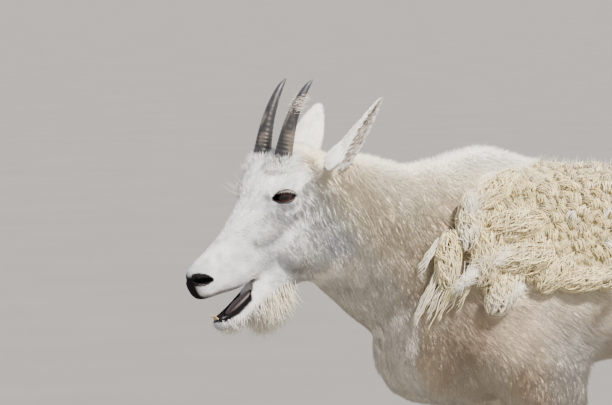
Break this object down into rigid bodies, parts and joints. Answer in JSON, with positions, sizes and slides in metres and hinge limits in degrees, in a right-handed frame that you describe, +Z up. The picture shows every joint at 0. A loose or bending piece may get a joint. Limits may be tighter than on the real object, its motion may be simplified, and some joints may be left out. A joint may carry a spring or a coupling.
{
  "type": "mountain goat",
  "caption": "Life-size standing mountain goat in summer moult: short coat in front, matted winter fleece behind, head turned to its left with the mouth open.",
  "frame": {"origin": "centre of the bounding box in plan, at floor level under the hooves", "axes": "the animal faces -X, its left side faces -Y, +Z is up"},
  "size_m": [1.2904, 0.3666, 0.923],
  "materials": {
    "coat": "short dense fur, cool white, taupe on the throat and chest",
    "fleece": "matted shedding wool, straw cream with white wisps",
    "horn": "worn black horn, ringed towards the root",
    "hoof": "dark dusty hoof",
    "eye": "wet dark brown",
    "mouth": "moist dark skin",
    "tooth": "stained ivory"
  },
  "bodies": {
    "root": {"head": "coat", "lower_jaw": "coat", "tongue": "mouth", "lower_incisors": "tooth", "eye_left": "eye", "eye_right": "eye", "ear_left": "coat", "ear_right": "coat", "horn_left": "horn", "horn_right": "horn", "neck": "coat", "chest": "fleece", "barrel": "fleece", "rump": "fleece", "tail": "coat", "foreleg_left": "coat", "foreleg_right": "coat", "foreshank_left": "coat", "foreshank_right": "coat", "hindleg_left": "fleece", "hindleg_right": "fleece", "hindshank_left": "coat", "hindshank_right": "coat", "hoof_front_left_inner": "hoof", "hoof_front_left_outer": "hoof", "hoof_front_right_inner": "hoof", "hoof_front_right_outer": "hoof", "hoof_hind_left_inner": "hoof", "hoof_hind_left_outer": "hoof", "hoof_hind_right_inner": "hoof", "hoof_hind_right_outer": "hoof"}
  },
  "joints": []
}
